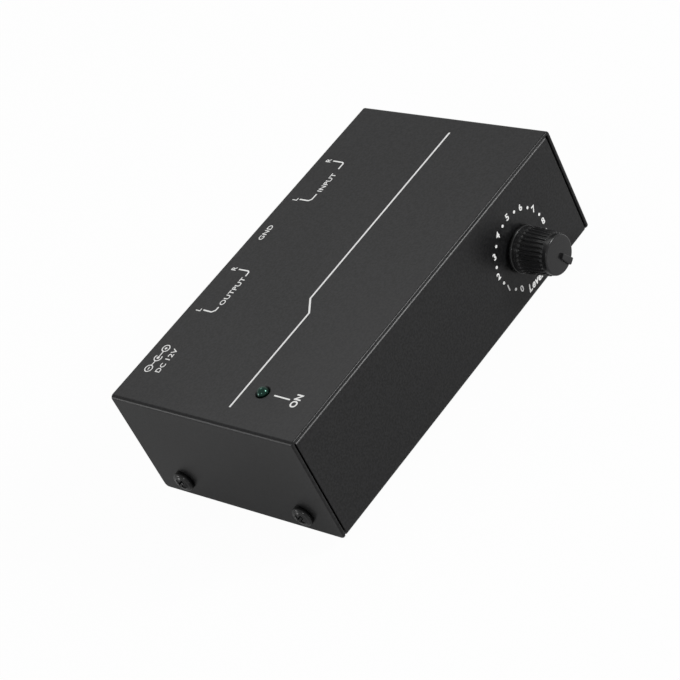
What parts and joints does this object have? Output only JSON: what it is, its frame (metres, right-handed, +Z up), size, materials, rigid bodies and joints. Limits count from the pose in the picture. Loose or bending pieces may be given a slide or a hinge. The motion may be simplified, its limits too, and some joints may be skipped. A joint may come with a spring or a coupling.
{
  "type": "phono preamp",
  "caption": "Small stereo phono preamp: folded black steel case, ribbed level knob in front, power light on top, phono sockets, ground post and supply socket behind.",
  "frame": {"origin": "on the table under the middle of the case, between the four feet", "axes": "+X along the case to the right as seen from the front, +Y from the front panel (knob) to the rear panel (sockets), +Z up"},
  "size_m": [0.1068, 0.0803, 0.0336],
  "materials": {
    "case_paint": "fine-textured satin black powder coat",
    "black_screws": "black-coated steel, semi-gloss",
    "foot_rubber": "matt",
    "knob_plastic": "satin black",
    "bright_metal": "bright nickel plate",
    "plain_steel": "zinc plate",
    "contact_brass": "plated brass",
    "housing_plastic": "black moulded",
    "white_plastic": "white moulded",
    "red_plastic": "red moulded",
    "light_green": "clear dark green, glossy",
    "wire_green": "insulation",
    "board_green": "lacquered fibreglass board",
    "phenolic_brown": "laminated resin",
    "capacitor_sleeve": "shrunk sleeve",
    "film_red": "dipped",
    "ceramic_ochre": "dipped",
    "resistor_blue": "lacquered"
  },
  "bodies": {
    "case": {"top_cover": "case_paint", "base_chassis": "case_paint", "cover_screws": "black_screws", "rubber_feet": "foot_rubber", "pot_tracks": "phenolic_brown", "pot_housings": "phenolic_brown", "pot_bushing": "plain_steel", "pot_frame": "plain_steel", "pot_terminals": "plain_steel", "led_lens": "light_green", "led_spacer": "white_plastic", "led_leads": "plain_steel", "output_jack_housing": "housing_plastic", "input_jack_housing": "housing_plastic", "output_left_shell": "bright_metal", "output_right_shell": "bright_metal", "input_left_shell": "bright_metal", "input_right_shell": "bright_metal", "output_left_insulator": "white_plastic", "output_right_insulator": "red_plastic", "input_left_insulator": "white_plastic", "input_right_insulator": "red_plastic", "output_left_contact": "contact_brass", "output_right_contact": "contact_brass", "input_left_contact": "contact_brass", "input_right_contact": "contact_brass", "dc_jack_housing": "housing_plastic", "dc_jack_pin": "bright_metal", "dc_jack_spring": "contact_brass", "ground_screw": "bright_metal", "ground_lug": "plain_steel", "ground_hex_nut": "bright_metal", "ground_wire": "wire_green", "main_board": "board_green", "board_standoffs": "contact_brass", "board_screws": "plain_steel", "op_amp_socket": "housing_plastic", "op_amp": "housing_plastic", "supply_capacitors": "capacitor_sleeve", "coupling_capacitors": "capacitor_sleeve", "film_capacitors": "film_red", "ceramic_capacitors": "ceramic_ochre", "resistors": "resistor_blue", "protection_diode": "housing_plastic"},
    "level_knob": {"knob": "knob_plastic", "pot_shaft": "plain_steel", "pot_rotors": "housing_plastic", "pot_wipers": "contact_brass"},
    "post_washer": {"ground_washer": "bright_metal"},
    "thumb_nut": {"ground_thumb_nut": "bright_metal"}
  },
  "joints": [
    {"name": "level_turn", "type": "hinge", "parent": "case", "child": "level_knob", "pos_m": [0.0294, -0.0285, 0.015], "axis": [0, -1, 0], "range_deg": [0, 300]},
    {"name": "washer_slide", "type": "slide", "parent": "case", "child": "post_washer", "axis": [0, 1, 0], "range_m": [0, 0.0021]},
    {"name": "thumb_nut_turn", "type": "hinge", "parent": "post_washer", "child": "thumb_nut", "pos_m": [0.0052, 0.0316, 0.0155], "axis": [0, 1, 0], "range_deg": [0, 1080]}
  ],
  "couplings": [
    {"joint": "thumb_nut_turn", "follows": "washer_slide", "rad_per_m": 8975.9}
  ]
}
